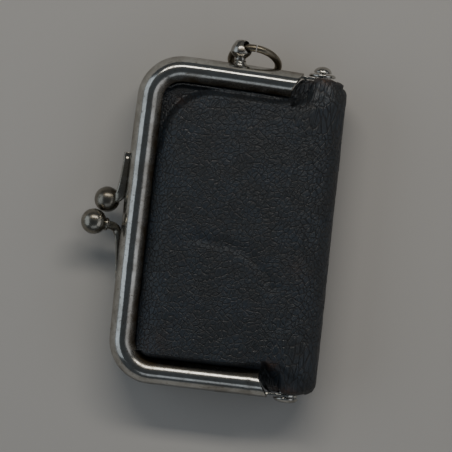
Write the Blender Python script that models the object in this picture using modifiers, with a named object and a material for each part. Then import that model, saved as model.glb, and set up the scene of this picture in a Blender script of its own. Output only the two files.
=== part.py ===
"""Coin holder: a leather purse in a snap frame, lying on its back panel.

The clasp is at -X, the spine of the leather at +X, the carrying ring at +Y and
the front panel faces +Z. The origin is the middle of the flat underside.
Driving dimensions are in millimetres, and the model is in metres.
"""
import math

import bmesh
import bpy
from mathutils import Vector

MM = 0.001

# Height of the plane where the two frame halves close, above the surface below
MID_Z = 9.4

# Plan of the frame: straight legs, a bowed side and two round corners
FRAME_LEFT = -27.5
FRAME_END = 43.0
CORNER_RADIUS = 11.0
SIDE_BOW = 0.3
SIDE_BOW_FROM_X = -15.0
TOP_DROOP = 0.9
TOP_DROOP_POWER = 1.5
TOP_DROOP_FROM_Y = 15.0
TOP_DROOP_FULL_Y = 35.0
RAIL_END_X = 15.0
RAIL_END_SLANT = 0.75
RAIL_SLANT_INSET = 3.7
METAL_WALL = 0.7

# Section of a frame half: inset from its outer edge, height above the closing plane
FRAME_SECTION = (
    {"inset": 0.0, "height": 0.15},
    {"inset": 0.0, "height": 2.0},
    {"inset": 0.25, "height": 3.2},
    {"inset": 0.9, "height": 4.6},
    {"inset": 1.8, "height": 5.6},
    {"inset": 2.7, "height": 5.95},
    {"inset": 3.6, "height": 5.7},
    {"inset": 4.6, "height": 5.0},
    {"inset": 5.7, "height": 4.1},
)
LEG_STEPS = 5
ARC_STEPS = 9
SIDE_STEPS = 6

# Hinge ears: lowest and highest edge of the front ear along X
HINGE_X = 20.0
EAR_WALL = 0.58
EAR_SINK = 0.06
EAR_STEP_IN = 0.9
EAR_STEP_START = 15.1
EAR_STEP_END = 16.4
EAR_STATIONS = (
    {"x": 12.4, "low": 0.3, "high": 1.9},
    {"x": 14.0, "low": 0.3, "high": 1.9},
    {"x": 15.1, "low": 0.3, "high": 2.0},
    {"x": 16.4, "low": 0.3, "high": 2.3},
    {"x": 17.3, "low": -1.3, "high": 2.6},
    {"x": 18.3, "low": -2.45, "high": 2.8},
    {"x": 20.0, "low": -3.0, "high": 3.0},
    {"x": 21.6, "low": -2.54, "high": 2.54},
    {"x": 22.6, "low": -1.5, "high": 1.5},
    {"x": 23.0, "low": -0.5, "high": 0.5},
)

# Hinge rivets and washer
PIN_RADIUS = 0.8
PIN_HOLE_RADIUS = 1.1
PIN_HEAD_RADIUS = 1.6
PIN_HEAD_FLAT_RADIUS = 1.45
PIN_HEAD_THICKNESS = 0.55
WASHER_RADIUS = 3.55
WASHER_THICKNESS = 0.85
WASHER_CHAMFER = 0.35
DOME_RADIUS = 2.4
DOME_HEIGHT = 1.75
DOME_STEPS = 6
FLAT_HEAD_PROFILE = (
    {"out": 1.4, "radius": 0.0},
    {"out": 1.3, "radius": 1.8},
    {"out": 0.92, "radius": 2.8},
    {"out": 0.5, "radius": 3.3},
    {"out": 0.0, "radius": 3.3},
)
GAP = 0.3

# Leather
LEATHER_WALL = 1.05
SPINE_X = 27.3
SPINE_TAPER = 0.45
SPINE_TAPER_FROM_X = 10.0
SPINE_START_X = 17.0
SPINE_POWER = 2.3
SPINE_CORNER_RADIUS = 3.5
END_INSET = 1.0
END_ROUND = 6.0
END_ROUND_FROM_X = 20.0
RIM_HEIGHT = 3.3
FRONT_PLATEAU = 8.2
FRONT_CROWN = 0.7
CROWN_REACH_X = 27.0
CROWN_REACH_Y = 40.0
FRONT_RISE = 2.6
BACK_RISE = 5.0
PLATEAU_LEFT = -20.4
PLATEAU_TOP = 35.2
PLATEAU_BOTTOM = 36.6
TOP_CORNER_RADIUS = 14.0
BOTTOM_CORNER_RADIUS = 7.0
# Where the panel's raised part comes nearer to a rail, or falls back from it
PLATEAU_MOVES = (
    {"side_y": 1, "from_x": 7.0, "to_x": 19.0, "move": 1.8},
    {"side_y": 1, "from_x": 19.0, "to_x": 23.0, "move": 8.0},
    {"side_y": -1, "from_x": 4.0, "to_x": 12.0, "move": -0.8},
    {"side_y": -1, "from_x": 18.0, "to_x": 23.0, "move": 8.8},
)

# Columns of the leather, as distances from the left side of the frame
LEATHER_COLUMNS = (
    4.8, 6.1, 6.9, 7.9, 9.3, 11.0, 13.4, 16.5, 20.5, 25.0, 30.0, 35.0, 38.5,
    39.7, 41.1, 42.9, 44.8, 45.9, 47.9, 49.9, 51.2, 52.2, 53.2, 54.1, 54.62, 54.8,
)
# Rows of the leather beyond the shaped ends, as distances from the frame's end
LEATHER_ROWS = (14.5, 18.0, 23.0, 32.0)
# Where the leather ends, from under the rail to the spine: inset and height of
# each row at a place along X; a height of None follows the panel's own form
END_SECTIONS = (
    {"x": 12.2, "inset": (4.6, 6.1, 7.4, 8.6, 9.8, 12.0), "height": (3.25, 3.3, None, None, None, None)},
    {"x": 13.6, "inset": (2.2, 4.3, 6.3, 7.8, 9.1, 11.6), "height": (2.6, 3.1, 3.2, 4.3, None, None)},
    {"x": 15.4, "inset": (1.6, 3.0, 5.2, 6.8, 8.1, 11.0), "height": (1.6, 2.8, 3.2, 4.8, 7.2, None)},
    {"x": 17.3, "inset": (2.1, 2.7, 4.4, 6.0, 7.4, 10.0), "height": (1.2, 2.6, 3.3, 5.0, 7.2, None)},
    {"x": 18.4, "inset": (2.85, 2.9, 2.6, 3.8, 6.1, 9.4), "height": (0.8, 2.3, 3.7, 5.2, 6.9, None)},
    {"x": 20.4, "inset": (3.0, 2.9, 0.8, 1.4, 4.4, 8.4), "height": (0.0, 2.3, 4.3, 5.9, 6.6, None)},
    {"x": 22.4, "inset": (2.8, 2.7, 0.9, 1.9, 4.6, 8.2), "height": (0.0, 2.3, 4.4, 6.1, 7.2, None)},
    {"x": 24.7, "inset": (1.0, 1.15, 1.5, 2.4, 4.7, 8.0), "height": (0.0, 2.3, 4.2, 6.1, 7.5, None)},
)
EDGE_ROWS = 2
EDGE_COLUMNS = 2

# Snap clasp: the leaf, neck and ball of each arm; heights are from the closing plane
BALL_RADIUS = 3.4
UPPER_BALL = (-33.1, 3.7, -1.1)
LOWER_BALL = (-35.9, -2.5, 1.1)
UPPER_ARM = (
    {"x": -29.0, "y": 16.7, "z": 1.9, "wide": 0.90, "deep": 1.0},
    {"x": -29.0, "y": 15.4, "z": 1.9, "wide": 0.95, "deep": 1.1},
    {"x": -29.15, "y": 11.0, "z": 1.9, "wide": 1.05, "deep": 1.1},
    {"x": -29.35, "y": 7.4, "z": 1.8, "wide": 1.25, "deep": 1.1},
    {"x": -29.65, "y": 5.6, "z": 1.5, "wide": 1.40, "deep": 1.1},
    {"x": -30.5, "y": 4.5, "z": 0.9, "wide": 1.35, "deep": 1.1},
    {"x": -31.6, "y": 4.0, "z": 0.0, "wide": 1.25, "deep": 1.1},
    {"x": -33.1, "y": 3.7, "z": -0.9, "wide": 1.2, "deep": 1.1},
)
LOWER_ARM = (
    {"x": -28.45, "y": -17.0, "z": -1.9, "wide": 0.25, "deep": 0.9},
    {"x": -28.5, "y": -15.0, "z": -1.9, "wide": 0.35, "deep": 1.0},
    {"x": -28.75, "y": -10.5, "z": -1.9, "wide": 0.55, "deep": 1.1},
    {"x": -29.0, "y": -6.8, "z": -1.8, "wide": 0.80, "deep": 1.1},
    {"x": -29.3, "y": -5.0, "z": -1.5, "wide": 1.05, "deep": 1.1},
    {"x": -29.9, "y": -3.8, "z": -0.9, "wide": 1.15, "deep": 1.1},
    {"x": -31.0, "y": -3.15, "z": -0.1, "wide": 1.15, "deep": 1.1},
    {"x": -32.6, "y": -2.9, "z": 0.7, "wide": 1.1, "deep": 1.1},
    {"x": -35.0, "y": -2.6, "z": 1.1, "wide": 1.1, "deep": 1.1},
)
ARM_SIDES = 10
ARM_SQUARENESS = 0.6
BALL_SEGMENTS = 20
BALL_RINGS = 12

# Knob on the top rail: radius of the turned post at its distance from the rail
KNOB_X = -2.2
KNOB_Z = 1.2
KNOB_SHANK_RADIUS = 0.7
KNOB_HOLE_RADIUS = 1.0
KNOB_PROFILE = (
    {"out": 6.85, "radius": 0.0},
    {"out": 6.75, "radius": 0.9},
    {"out": 6.45, "radius": 1.6},
    {"out": 5.7, "radius": 2.1},
    {"out": 4.7, "radius": 2.6},
    {"out": 3.6, "radius": 2.8},
    {"out": 2.6, "radius": 2.2},
    {"out": 1.85, "radius": 1.45},
    {"out": 1.5, "radius": 1.45},
    {"out": 1.25, "radius": 1.65},
    {"out": 0.95, "radius": 1.5},
    {"out": 0.3, "radius": 2.1},
    {"out": 0.0, "radius": 2.2},
)
KNOB_FOOT_OUT = 0.3
KNOB_INNER_HEAD_RADIUS = 1.3
KNOB_INNER_HEAD_THICKNESS = 0.5

# Carrying ring: a wire circle through the knob's eye, leaning down under the rail
RING_CENTRE = (1.66, 44.52, 6.44)
RING_RADIUS = 6.39
WIRE_RADIUS = 0.97
RING_TILT = math.radians(58.1)
RING_TURN = math.radians(-5.4)
RING_EYE_ANGLE = math.radians(130.0)
RING_SLIT_ANGLE = math.radians(92.0)
RING_SLIT = 0.3
RING_STEPS = 36
RING_BEVEL_STEPS = 3
EYE_SIDES = 16
EYE_REACH = 4.2
EYE_STEPS = 8
EYE_GAP = 0.4
TURN_SIDES = 20
HOLE_CUT_DEPTH = 4.0


def smooth(value):
    """Ease from 0 to 1 without a corner at either end."""
    t = min(max(value, 0.0), 1.0)
    return t * t * (3.0 - 2.0 * t)


def rounded(value, power):
    """Height of a superellipse, 1 at value 0 and 0 at value 1."""
    t = min(max(value, 0.0), 1.0)
    return (1.0 - t ** power) ** (1.0 / power)


def warp(x, y):
    """Bow the clasp side outward and let the top rail run down to its hinge."""
    side_share = min(max((SIDE_BOW_FROM_X - x) / (SIDE_BOW_FROM_X - FRAME_LEFT), 0.0), 1.0)
    bow = SIDE_BOW * max(0.0, 1.0 - (y / (FRAME_END - CORNER_RADIUS)) ** 2)
    corner_x = FRAME_LEFT + CORNER_RADIUS
    along = min(max((x - corner_x) / (RAIL_END_X - corner_x), 0.0), 1.0)
    upper = smooth((y - TOP_DROOP_FROM_Y) / (TOP_DROOP_FULL_Y - TOP_DROOP_FROM_Y))
    return x - bow * side_share, y - TOP_DROOP * along ** TOP_DROOP_POWER * upper


def place(x, y, height):
    """A point given in millimetres, with its height above the closing plane."""
    return Vector((x, y, MID_Z + height)) * MM


def make_material(name, colour, metallic, roughness):
    material = bpy.data.materials.new(name)
    material.use_nodes = True
    shader = material.node_tree.nodes["Principled BSDF"]
    shader.inputs["Base Color"].default_value = (*colour, 1.0)
    shader.inputs["Metallic"].default_value = metallic
    shader.inputs["Roughness"].default_value = roughness
    material.diffuse_color = (*colour, 1.0)
    return material


def add_object(name, mesh, collection, material=None, smooth_angle=35.0):
    item = bpy.data.objects.new(name, mesh)
    collection.objects.link(item)
    if material is not None:
        mesh.materials.append(material)
    mesh.shade_smooth()
    mesh.set_sharp_from_angle(angle=math.radians(smooth_angle))
    return item


def mesh_from(name, builder):
    """Run a bmesh builder and return its mesh with faces pointing out."""
    build = bmesh.new()
    builder(build)
    bmesh.ops.recalc_face_normals(build, faces=build.faces)
    mesh = bpy.data.meshes.new(name)
    build.to_mesh(mesh)
    build.free()
    return mesh


def loft(build, rings, capped=True):
    """Join rings of equal length by quads, with a face on each end."""
    loops = [[build.verts.new(point) for point in ring] for ring in rings]
    for first, second in zip(loops, loops[1:]):
        count = len(first)
        for k in range(count):
            follow = (k + 1) % count
            build.faces.new((first[k], first[follow], second[follow], second[k]))
    if capped:
        build.faces.new(loops[0])
        build.faces.new(loops[-1])


def combine(target, other, operation, cutters):
    """Add a Boolean that joins or cuts with another object, and hide that object."""
    for owner in list(other.users_collection):
        owner.objects.unlink(other)
    cutters.objects.link(other)
    other.hide_render = True
    other.display_type = "WIRE"
    modifier = target.modifiers.new(operation.title(), "BOOLEAN")
    modifier.operation = operation
    modifier.solver = "EXACT"
    modifier.object = other


def turned(name, profile, collection, material=None, sides=TURN_SIDES):
    """Turn a profile of (radius, height) about Z, from its top down its outer side."""
    mesh = bpy.data.meshes.new(name)
    points = [(radius * MM, 0.0, height * MM) for radius, height in profile]
    edges = [(k, k + 1) for k in range(len(points) - 1)]
    mesh.from_pydata(points, edges, [])
    item = add_object(name, mesh, collection, material)
    screw = item.modifiers.new("Screw", "SCREW")
    screw.axis = "Z"
    screw.steps = sides
    screw.render_steps = sides
    screw.use_merge_vertices = True
    screw.merge_threshold = 0.00001
    screw.use_smooth_shade = True
    return item


def cylinder(name, radius, length, collection):
    """A round cutter along Z, centred on its origin."""
    def builder(build):
        bmesh.ops.create_cone(
            build,
            cap_ends=True,
            segments=TURN_SIDES,
            radius1=radius * MM,
            radius2=radius * MM,
            depth=length * MM,
        )

    return add_object(name, mesh_from(name, builder), collection)


def stand_along(item, position, direction):
    """Put an object's Z axis along a direction, with its origin at a point."""
    turn = Vector((0.0, 0.0, 1.0)).rotation_difference(Vector(direction).normalized())
    item.rotation_mode = "QUATERNION"
    item.rotation_quaternion = turn
    item.location = position


def rail_end(inset):
    """The rail ends on a slant: its outer wall reaches further than its crest."""
    return RAIL_END_X - RAIL_END_SLANT * min(inset, RAIL_SLANT_INSET)


def rail_path(inset):
    """Plan of the U-shaped frame at an inset from its outer edge."""
    corner_x = FRAME_LEFT + CORNER_RADIUS
    corner_y = FRAME_END - CORNER_RADIUS
    radius = CORNER_RADIUS - inset
    end_x = rail_end(inset)
    path = []
    for k in range(LEG_STEPS):
        x = end_x + (corner_x - end_x) * k / LEG_STEPS
        path.append((x, FRAME_END - inset))
    for k in range(ARC_STEPS):
        angle = math.radians(90.0 + 90.0 * k / ARC_STEPS)
        path.append((corner_x + radius * math.cos(angle), corner_y + radius * math.sin(angle)))
    for k in range(SIDE_STEPS + 1):
        y = corner_y - 2.0 * corner_y * k / SIDE_STEPS
        path.append((FRAME_LEFT + inset, y))
    lower_half = [(x, -y) for x, y in path[:LEG_STEPS + ARC_STEPS]]
    path.extend(reversed(lower_half))
    return [warp(x, y) for x, y in path]


def frame_shell(side):
    """The stamped half: its section carried along the plan, as an open surface."""
    def builder(build):
        rows = []
        for point in FRAME_SECTION:
            path = rail_path(point["inset"])
            rows.append([build.verts.new(place(x, y, side * point["height"])) for x, y in path])
        for lower, upper in zip(rows, rows[1:]):
            for k in range(len(lower) - 1):
                build.faces.new((lower[k], lower[k + 1], upper[k + 1], upper[k]))
    return builder


def face_away(mesh, inner_point):
    """Point the faces of an open surface away from a point inside it."""
    build = bmesh.new()
    build.from_mesh(mesh)
    face = max(build.faces, key=lambda item: item.calc_area())
    if face.normal.dot(face.calc_center_median() - inner_point) < 0.0:
        bmesh.ops.reverse_faces(build, faces=build.faces)
    build.to_mesh(mesh)
    build.free()


def ear_builder(side_y, side_z):
    """A hinge ear; the back half's ears step inward beneath the front half's."""
    def builder(build):
        rings = []
        for station in EAR_STATIONS:
            span = (station["x"] - EAR_STEP_START) / (EAR_STEP_END - EAR_STEP_START)
            step_in = EAR_STEP_IN * smooth(span) if side_z < 0 else 0.0
            outer = FRAME_END - EAR_SINK - step_in
            corners = []
            for out, height in (
                (outer, station["low"]),
                (outer, station["high"]),
                (outer - EAR_WALL, station["high"]),
                (outer - EAR_WALL, station["low"]),
            ):
                x, y = warp(station["x"], side_y * out)
                corners.append(place(x, y, side_z * height))
            rings.append(corners)
        loft(build, rings)
    return builder


def hinge_wall(side_y):
    """Outer face of the front ear at the hinge."""
    return warp(HINGE_X, side_y * (FRAME_END - EAR_SINK))[1]


def build_frame_half(name, side, collection, cutters, metal):
    mesh = mesh_from(name, frame_shell(side))
    face_away(mesh, place(FRAME_LEFT + 8.0, 0.0, 0.0))
    half = add_object(name, mesh, collection, metal)
    shell = half.modifiers.new("Sheet", "SOLIDIFY")
    shell.thickness = METAL_WALL * MM
    shell.offset = -1.0
    shell.use_even_offset = True
    for end_name, side_y in (("top", 1), ("bottom", -1)):
        ear_mesh = mesh_from(f"{name}_ear_{end_name}", ear_builder(side_y, side))
        ear = add_object(f"{name}_ear_{end_name}", ear_mesh, cutters)
        combine(half, ear, "UNION", cutters)
        hole = cylinder(f"{name}_pin_hole_{end_name}", PIN_HOLE_RADIUS, HOLE_CUT_DEPTH, cutters)
        stand_along(hole, place(HINGE_X, hinge_wall(side_y), 0.0), (0.0, 1.0, 0.0))
        combine(half, hole, "DIFFERENCE", cutters)
    return half


def wrap_corner(across, along, radius):
    """Bend the square corner of a grid into a round one, keeping its spacing."""
    u = radius - across
    w = radius - along
    if u <= 0.0 or w <= 0.0:
        return across, along
    reach = max(u, w)
    angle = math.pi / 4.0 * min(u, w) / reach
    long_part = reach * math.cos(angle)
    short_part = reach * math.sin(angle)
    if u >= w:
        return radius - long_part, radius - short_part
    return radius - short_part, radius - long_part


def plateau_edge(x, y):
    """Distance from the middle at which the panel starts to fall to a rail."""
    side_y = 1 if y >= 0.0 else -1
    edge = PLATEAU_TOP if side_y > 0 else PLATEAU_BOTTOM
    for row in PLATEAU_MOVES:
        if row["side_y"] == side_y:
            edge += row["move"] * smooth((x - row["from_x"]) / (row["to_x"] - row["from_x"]))
    return edge


def panel_height(x, y, side):
    """Height of the leather over the closing plane: rim, rise and crowned panel."""
    radius = TOP_CORNER_RADIUS if y >= 0.0 else BOTTOM_CORNER_RADIUS
    out_x = PLATEAU_LEFT - x + radius
    out_y = abs(y) - plateau_edge(x, y) + radius
    outside = math.hypot(max(out_x, 0.0), max(out_y, 0.0)) + min(max(out_x, out_y), 0.0) - radius
    if side > 0:
        rise = FRONT_RISE
        crown_x = max(0.0, 1.0 - (x / CROWN_REACH_X) ** 2)
        crown_y = max(0.0, 1.0 - (y / CROWN_REACH_Y) ** 2)
        top = FRONT_PLATEAU + FRONT_CROWN * crown_x * crown_y
    else:
        rise = BACK_RISE
        top = MID_Z
        outside += 0.5 * (BACK_RISE - FRONT_RISE)
    share = smooth(0.5 - outside / rise)
    return RIM_HEIGHT + (top - RIM_HEIGHT) * share


def spine_share(x):
    """How far the leather has turned in towards the closing plane at the spine."""
    return rounded((x - SPINE_START_X) / (SPINE_X - SPINE_START_X), SPINE_POWER)


def end_section(x, row):
    """Inset and height of an end row, and how far it leaves the panel's own form."""
    before = after = END_SECTIONS[0]
    for station in END_SECTIONS:
        before, after = after, station
        if x <= station["x"]:
            break
    span = max(after["x"] - before["x"], GAP)
    share = min(max((x - before["x"]) / span, 0.0), 1.0)
    inset = before["inset"][row] + (after["inset"][row] - before["inset"][row]) * share
    low = before["height"][row]
    high = after["height"][row]
    if high is None:
        return inset, 0.0, 0.0
    if low is None:
        return inset, high, share
    return inset, low + (high - low) * share, 1.0


def leather_level(x, plan_x, plan_y, column, row, side_z):
    """Height of a point of the leather's outer surface over the closing plane."""
    if column < EDGE_COLUMNS or (row < EDGE_ROWS and x <= END_SECTIONS[0]["x"]):
        return RIM_HEIGHT
    level = panel_height(plan_x, plan_y, side_z)
    if row < len(END_SECTIONS[0]["inset"]):
        height, follow = end_section(x, row)[1:]
        level += (height - level) * follow
    return level


def leather_point(column, row, side_y, side_z):
    """A point of the leather's outer surface."""
    across = LEATHER_COLUMNS[column]
    x = FRAME_LEFT + across
    shaped_rows = len(END_SECTIONS[0]["inset"])
    if row < shaped_rows:
        inset = end_section(x, row)[0]
    elif row < shaped_rows + len(LEATHER_ROWS):
        inset = LEATHER_ROWS[row - shaped_rows]
    else:
        inset = FRAME_END
    across, along = wrap_corner(across, inset, CORNER_RADIUS)
    if x > SPINE_X - SPINE_CORNER_RADIUS:
        turned_in, along = wrap_corner(SPINE_X - x, inset - END_INSET, SPINE_CORNER_RADIUS)
        across = SPINE_X - turned_in - FRAME_LEFT
        along += END_INSET
    plan_x = FRAME_LEFT + across
    plan_y = side_y * (FRAME_END - along)
    level = leather_level(x, plan_x, plan_y, column, row, side_z)
    if row >= shaped_rows - 1 and x > END_ROUND_FROM_X:
        level *= rounded(1.0 - (inset - END_INSET) / END_ROUND, SPINE_POWER)
    level *= spine_share(x)
    taper = smooth((x - SPINE_TAPER_FROM_X) / (SPINE_X - SPINE_TAPER_FROM_X))
    plan_x, plan_y = warp(plan_x - SPINE_TAPER * taper * plan_y / FRAME_END, plan_y)
    return place(plan_x, plan_y, side_z * level)


def leather_builder(build):
    """Front and back surfaces, joined where both lie on the closing plane."""
    shaped_rows = len(END_SECTIONS[0]["inset"])
    half_rows = shaped_rows + len(LEATHER_ROWS)
    row_list = [(row, 1) for row in range(half_rows + 1)]
    row_list += [(row, -1) for row in reversed(range(half_rows))]
    for side_z in (1, -1):
        grid = []
        for row, side_y in row_list:
            points = [leather_point(column, row, side_y, side_z) for column in range(len(LEATHER_COLUMNS))]
            grid.append([build.verts.new(point) for point in points])
        for first, second in zip(grid, grid[1:]):
            for k in range(len(first) - 1):
                corners = (first[k], first[k + 1], second[k + 1], second[k])
                build.faces.new(corners if side_z < 0 else tuple(reversed(corners)))
    bmesh.ops.remove_doubles(build, verts=build.verts, dist=0.00001)


def build_leather(collection, leather):
    mesh = mesh_from("leather_body", leather_builder)
    face_away(mesh, place(0.0, 0.0, 0.0))
    body = add_object("leather_body", mesh, collection, leather, 60.0)
    wall = body.modifiers.new("Leather", "SOLIDIFY")
    wall.thickness = LEATHER_WALL * MM
    wall.offset = -1.0
    wall.use_even_offset = True
    return body


def arm_builder(stations):
    """A clasp arm: rounded sections along its leaf and neck."""
    def builder(build):
        centres = [Vector((row["x"], row["y"], row["z"])) for row in stations]
        rings = []
        for k, row in enumerate(stations):
            ahead = centres[min(k + 1, len(centres) - 1)] - centres[max(k - 1, 0)]
            sideways = Vector((-ahead.y, ahead.x, 0.0)).normalized()
            ring = []
            for corner in range(ARM_SIDES):
                angle = 2.0 * math.pi * (corner + 0.5) / ARM_SIDES
                square = 1.0 / max(abs(math.cos(angle)), abs(math.sin(angle))) ** ARM_SQUARENESS
                offset = sideways * (row["wide"] * square * math.cos(angle))
                point = centres[k] + offset
                ring.append(place(point.x, point.y, point.z + row["deep"] * square * math.sin(angle)))
            rings.append(ring)
        loft(build, rings)
    return builder


def build_clasp(name, stations, ball, collection, cutters, metal):
    arm = add_object(name, mesh_from(name, arm_builder(stations)), collection, metal)

    def ball_builder(build):
        bmesh.ops.create_uvsphere(
            build, u_segments=BALL_SEGMENTS, v_segments=BALL_RINGS, radius=BALL_RADIUS * MM
        )

    sphere = add_object(f"{name}_ball", mesh_from(f"{name}_ball", ball_builder), cutters)
    sphere.location = place(*ball)
    combine(arm, sphere, "UNION", cutters)
    return arm


def rivet_profile(shank, head):
    """Profile of a rivet: head at the top, shank, and the peened head inside."""
    return list(head) + [
        (PIN_RADIUS, 0.0),
        (PIN_RADIUS, -shank),
        (PIN_HEAD_RADIUS, -shank),
        (PIN_HEAD_FLAT_RADIUS, -shank - PIN_HEAD_THICKNESS),
        (0.0, -shank - PIN_HEAD_THICKNESS),
    ]


def profile_points(table):
    """A table of radii and distances along the axis, as a turned profile."""
    return [(row["radius"], row["out"]) for row in table]


def build_hinges(collection, metal):
    ear_depth = EAR_STEP_IN + EAR_WALL + GAP
    top_face = hinge_wall(1)
    bottom_face = hinge_wall(-1)

    washer_low = GAP
    washer_high = washer_low + WASHER_THICKNESS
    washer = turned(
        "hinge_washer_top",
        (
            (PIN_HOLE_RADIUS, washer_high),
            (WASHER_RADIUS - WASHER_CHAMFER, washer_high),
            (WASHER_RADIUS, washer_high - WASHER_CHAMFER),
            (WASHER_RADIUS, washer_low),
            (PIN_HOLE_RADIUS, washer_low),
            (PIN_HOLE_RADIUS, washer_high),
        ),
        collection,
        metal,
    )
    stand_along(washer, place(HINGE_X, top_face, 0.0), (0.0, 1.0, 0.0))

    dome = []
    for k in range(DOME_STEPS + 1):
        angle = 0.5 * math.pi * k / DOME_STEPS
        dome.append((DOME_RADIUS * math.sin(angle), DOME_HEIGHT * math.cos(angle)))
    dome_base = washer_high + GAP
    top_profile = rivet_profile(dome_base + ear_depth, dome)
    top_rivet = turned("hinge_rivet_top", top_profile, collection, metal)
    stand_along(top_rivet, place(HINGE_X, top_face + dome_base, 0.0), (0.0, 1.0, 0.0))

    bottom_profile = rivet_profile(GAP + ear_depth, profile_points(FLAT_HEAD_PROFILE))
    bottom_rivet = turned("hinge_rivet_bottom", bottom_profile, collection, metal)
    stand_along(bottom_rivet, place(HINGE_X, bottom_face - GAP, 0.0), (0.0, -1.0, 0.0))


def ring_axes():
    """Unit vectors in the ring's plane, and its centre, in millimetres."""
    level = Vector((math.cos(RING_TURN), math.sin(RING_TURN), 0.0))
    flat = Vector((-math.sin(RING_TURN), math.cos(RING_TURN), 0.0))
    rising = flat * math.cos(RING_TILT) + Vector((0.0, 0.0, math.sin(RING_TILT)))
    return Vector(RING_CENTRE), level, rising


def ring_point(angle):
    centre, level, rising = ring_axes()
    return centre + RING_RADIUS * (level * math.cos(angle) + rising * math.sin(angle))


def ring_tangent(angle):
    level, rising = ring_axes()[1:]
    return rising * math.cos(angle) - level * math.sin(angle)


def knob_wall():
    """Outer face of the top rail where the knob stands."""
    return warp(KNOB_X, FRAME_END)[1]


def build_knob(front, collection, cutters, metal):
    foot = knob_wall() + KNOB_FOOT_OUT
    shank = KNOB_FOOT_OUT + METAL_WALL + 1.5 * GAP
    profile = profile_points(KNOB_PROFILE) + [
        (KNOB_SHANK_RADIUS, 0.0),
        (KNOB_SHANK_RADIUS, -shank),
        (KNOB_INNER_HEAD_RADIUS, -shank),
        (KNOB_INNER_HEAD_RADIUS, -shank - KNOB_INNER_HEAD_THICKNESS),
        (0.0, -shank - KNOB_INNER_HEAD_THICKNESS),
    ]
    knob = turned("ring_knob", profile, collection, metal)
    stand_along(knob, place(KNOB_X, foot, KNOB_Z), (0.0, 1.0, 0.0))

    eye_profile = [(0.0, EYE_REACH)]
    for k in range(EYE_STEPS + 1):
        reach = EYE_REACH * (1.0 - 2.0 * k / EYE_STEPS)
        eye_profile.append((WIRE_RADIUS + EYE_GAP + reach ** 2 / (2.0 * RING_RADIUS), reach))
    eye_profile.append((0.0, -EYE_REACH))
    eye = turned("ring_knob_eye", eye_profile, cutters, None, EYE_SIDES)
    stand_along(eye, ring_point(RING_EYE_ANGLE) * MM, ring_tangent(RING_EYE_ANGLE))
    combine(knob, eye, "DIFFERENCE", cutters)

    hole = cylinder("front_frame_knob_hole", KNOB_HOLE_RADIUS, HOLE_CUT_DEPTH, cutters)
    stand_along(hole, place(KNOB_X, knob_wall(), KNOB_Z), (0.0, 1.0, 0.0))
    combine(front, hole, "DIFFERENCE", cutters)


def build_ring(collection, metal):
    """The wire ring, with its origin in the knob's eye, where it swings."""
    half_slit = 0.5 * RING_SLIT / RING_RADIUS
    start = RING_SLIT_ANGLE + half_slit
    sweep = 2.0 * math.pi - 2.0 * half_slit
    curve = bpy.data.curves.new("carry_ring", "CURVE")
    curve.dimensions = "3D"
    curve.bevel_depth = WIRE_RADIUS * MM
    curve.bevel_resolution = RING_BEVEL_STEPS
    curve.use_fill_caps = True
    spline = curve.splines.new("POLY")
    spline.points.add(RING_STEPS)
    eye = ring_point(RING_EYE_ANGLE)
    for k, point in enumerate(spline.points):
        position = (ring_point(start + sweep * k / RING_STEPS) - eye) * MM
        point.co = (*position, 1.0)
    ring = bpy.data.objects.new("carry_ring", curve)
    ring.location = eye * MM
    collection.objects.link(ring)
    curve.materials.append(metal)
    return ring


def main():
    for item in list(bpy.data.objects):
        bpy.data.objects.remove(item, do_unlink=True)
    parts = bpy.data.collections.new("coin_holder")
    cutters = bpy.data.collections.new("cutters")
    bpy.context.scene.collection.children.link(parts)
    bpy.context.scene.collection.children.link(cutters)

    leather = make_material("black_leather", (0.018, 0.02, 0.024), 0.0, 0.5)
    metal = make_material("nickel_silver", (0.52, 0.49, 0.42), 1.0, 0.3)
    wire = make_material("ring_wire", (0.36, 0.31, 0.23), 1.0, 0.35)

    build_leather(parts, leather)
    front = build_frame_half("front_frame", 1, parts, cutters, metal)
    build_frame_half("back_frame", -1, parts, cutters, metal)
    build_clasp("clasp_upper", UPPER_ARM, UPPER_BALL, parts, cutters, metal)
    build_clasp("clasp_lower", LOWER_ARM, LOWER_BALL, parts, cutters, metal)
    build_hinges(parts, metal)
    build_knob(front, parts, cutters, metal)
    build_ring(parts, wire)


main()
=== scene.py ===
"""Looks of the coin holder: pebbled black leather in a worn nickel-silver snap frame.

The part's own frame is kept: the clasp is at -X, the spine of the leather at +X,
the carrying ring at +Y and the front panel faces +Z. Sizes below are in
millimetres, heights are from the plane where the frame halves close, and
meshes are made in metres.
"""

import math

import bmesh
import bpy
import numpy as np
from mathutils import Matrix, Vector


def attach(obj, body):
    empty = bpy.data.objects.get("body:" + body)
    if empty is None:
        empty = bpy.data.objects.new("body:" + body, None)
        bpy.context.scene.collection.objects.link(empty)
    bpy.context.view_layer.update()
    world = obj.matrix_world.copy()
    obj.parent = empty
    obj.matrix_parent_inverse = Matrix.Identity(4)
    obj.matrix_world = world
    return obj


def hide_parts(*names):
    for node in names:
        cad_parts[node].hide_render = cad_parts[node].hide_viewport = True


MM = 0.001
MID_Z = 9.4

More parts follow.
